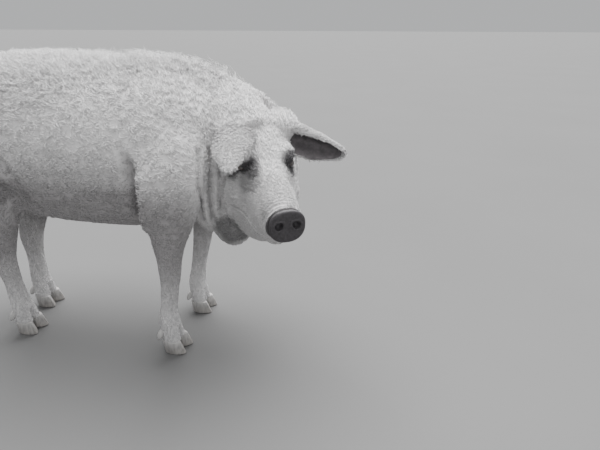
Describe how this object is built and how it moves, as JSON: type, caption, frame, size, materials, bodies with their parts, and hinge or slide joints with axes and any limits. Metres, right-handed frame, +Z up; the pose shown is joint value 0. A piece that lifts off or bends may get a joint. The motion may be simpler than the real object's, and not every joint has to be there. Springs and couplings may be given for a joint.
{
  "type": "mangalica pig model",
  "caption": "Still, life-size model of a curly-coated mangalica pig, standing on all four feet with its head turned to its right.",
  "frame": {"origin": "on the floor, under the middle of the whole animal's box", "axes": "+X along the back towards the pig's head end, +Y to the pig's left, +Z up"},
  "size_m": [1.1938, 0.4508, 0.7602],
  "materials": {
    "coat": "pale, dense, curly bristle coat",
    "bare_skin": "dark, slightly moist skin",
    "horn": "dusty grey horn",
    "eye": "dark, wet and glossy"
  },
  "bodies": {
    "root": {"torso": "coat", "neck": "coat", "head": "coat", "ear_right": "coat", "ear_left": "coat", "tail": "coat", "leg_front_right": "coat", "leg_front_left": "coat", "leg_hind_right": "coat", "leg_hind_left": "coat", "nose": "bare_skin", "eye_right": "eye", "eye_left": "eye", "hoof_front_right_inner": "horn", "hoof_front_right_outer": "horn", "hoof_front_left_inner": "horn", "hoof_front_left_outer": "horn", "hoof_hind_right_inner": "horn", "hoof_hind_right_outer": "horn", "hoof_hind_left_inner": "horn", "hoof_hind_left_outer": "horn", "dewclaw_front_right_inner": "horn", "dewclaw_front_right_outer": "horn", "dewclaw_front_left_inner": "horn", "dewclaw_front_left_outer": "horn", "dewclaw_hind_right_inner": "horn", "dewclaw_hind_right_outer": "horn", "dewclaw_hind_left_inner": "horn", "dewclaw_hind_left_outer": "horn"}
  },
  "joints": []
}
